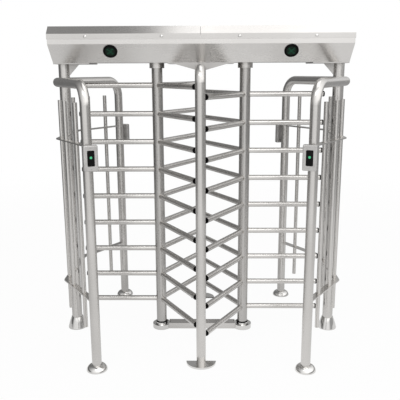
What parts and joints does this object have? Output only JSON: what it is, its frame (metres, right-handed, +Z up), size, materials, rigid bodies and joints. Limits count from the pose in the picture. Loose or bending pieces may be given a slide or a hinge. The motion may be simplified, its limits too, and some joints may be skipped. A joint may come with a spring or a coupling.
{
  "type": "full height turnstile",
  "caption": "Double full height turnstile: two rotors with tiers of horizontal arms under a shared header, between tube hoops, guard rails and end pillars.",
  "frame": {"origin": "on the floor, midway between the two rotor axes", "axes": "+Z up, +X along the header, -Y the side the picture shows, walking passages run along Y"},
  "size_m": [2.0854, 1.493, 2.225],
  "materials": {
    "satin_steel": "satin stainless tube",
    "sheet_steel": "brushed stainless sheet",
    "polished_steel": "polished stainless",
    "rubber": "black rubber",
    "machined_steel": "machined steel",
    "spring_steel": "spring steel wire",
    "solenoid_case": "dark blue paint",
    "box_grey": "grey powder coat",
    "lamp_black": "black plastic",
    "lamp_green": "unlit dark green lens",
    "reader_case": "fine blasted metal",
    "reader_glass": "gloss black window with a small green light"
  },
  "bodies": {
    "frame": {"left_side_hoop": "satin_steel", "right_side_hoop": "satin_steel", "centre_hoop": "satin_steel", "left_pillar": "satin_steel", "right_pillar": "satin_steel", "left_header_bracket": "satin_steel", "right_header_bracket": "satin_steel", "centre_header_bracket": "satin_steel", "left_upper_band": "satin_steel", "left_lower_band": "satin_steel", "right_upper_band": "satin_steel", "right_lower_band": "satin_steel", "left_guard_tubes": "satin_steel", "right_guard_tubes": "satin_steel", "post_flanges": "satin_steel", "foot_covers": "polished_steel", "base_beam": "satin_steel", "floor_bearing_housings": "polished_steel", "bearing_bolts": "machined_steel", "column_seals": "rubber", "header_body": "sheet_steel", "left_lid": "sheet_steel", "right_lid": "sheet_steel", "lid_screws": "polished_steel", "lamp_bezels": "lamp_black", "lamp_lenses": "lamp_green", "control_box": "box_grey", "front_left_reader": "reader_case", "front_right_reader": "reader_case", "rear_left_reader": "reader_case", "rear_right_reader": "reader_case", "reader_windows": "reader_glass", "left_top_housing": "satin_steel", "right_top_housing": "satin_steel", "top_bearings": "machined_steel", "pivot_studs": "machined_steel", "left_solenoid": "solenoid_case", "right_solenoid": "solenoid_case", "left_index_spring": "spring_steel", "right_index_spring": "spring_steel"},
    "left_rotor": {"left_rotor_column": "satin_steel", "left_rotor_outer_wing": "satin_steel", "left_rotor_front_wing": "satin_steel", "left_rotor_rear_wing": "satin_steel", "left_arm_caps": "rubber", "left_index_disc": "machined_steel"},
    "left_lever": {"left_index_lever": "machined_steel"},
    "left_roller": {"left_index_roller": "machined_steel"},
    "left_pawl": {"left_lock_pawl": "machined_steel"},
    "left_plunger": {"left_solenoid_plunger": "machined_steel"},
    "right_rotor": {"right_rotor_column": "satin_steel", "right_rotor_outer_wing": "satin_steel", "right_rotor_front_wing": "satin_steel", "right_rotor_rear_wing": "satin_steel", "right_arm_caps": "rubber", "right_index_disc": "machined_steel"},
    "right_lever": {"right_index_lever": "machined_steel"},
    "right_roller": {"right_index_roller": "machined_steel"},
    "right_pawl": {"right_lock_pawl": "machined_steel"},
    "right_plunger": {"right_solenoid_plunger": "machined_steel"}
  },
  "joints": [
    {"name": "left_rotor_turn", "type": "hinge", "parent": "frame", "child": "left_rotor", "pos_m": [-0.31, 0, 1], "axis": [0, 0, 1], "continuous": true},
    {"name": "left_lever_swing", "type": "hinge", "parent": "frame", "child": "left_lever", "pos_m": [-0.39, 0.0815, 2.035], "axis": [0, 0, 1], "range_deg": [-9.3, 0], "deforming": ["left_index_spring"]},
    {"name": "left_roller_spin", "type": "hinge", "parent": "left_lever", "child": "left_roller", "pos_m": [-0.31, 0.088, 2.05], "axis": [0, 0, 1], "continuous": true},
    {"name": "left_pawl_swing", "type": "hinge", "parent": "frame", "child": "left_pawl", "pos_m": [-0.39, -0.0815, 2.05], "axis": [0, 0, 1], "range_deg": [0, 9.3]},
    {"name": "left_plunger_slide", "type": "slide", "parent": "frame", "child": "left_plunger", "axis": [0, 1, 0], "range_m": [0, 0.0176]},
    {"name": "right_rotor_turn", "type": "hinge", "parent": "frame", "child": "right_rotor", "pos_m": [0.31, 0, 1], "axis": [0, 0, 1], "continuous": true},
    {"name": "right_lever_swing", "type": "hinge", "parent": "frame", "child": "right_lever", "pos_m": [0.23, 0.0815, 2.035], "axis": [0, 0, 1], "range_deg": [-9.3, 0], "deforming": ["right_index_spring"]},
    {"name": "right_roller_spin", "type": "hinge", "parent": "right_lever", "child": "right_roller", "pos_m": [0.31, 0.088, 2.05], "axis": [0, 0, 1], "continuous": true},
    {"name": "right_pawl_swing", "type": "hinge", "parent": "frame", "child": "right_pawl", "pos_m": [0.23, -0.0815, 2.05], "axis": [0, 0, 1], "range_deg": [0, 9.3]},
    {"name": "right_plunger_slide", "type": "slide", "parent": "frame", "child": "right_plunger", "axis": [0, 1, 0], "range_m": [0, 0.0176]}
  ],
  "couplings": [
    {"joint": "left_plunger_slide", "follows": "left_pawl_swing", "m_per_rad": 0.108},
    {"joint": "right_plunger_slide", "follows": "right_pawl_swing", "m_per_rad": 0.108}
  ]
}
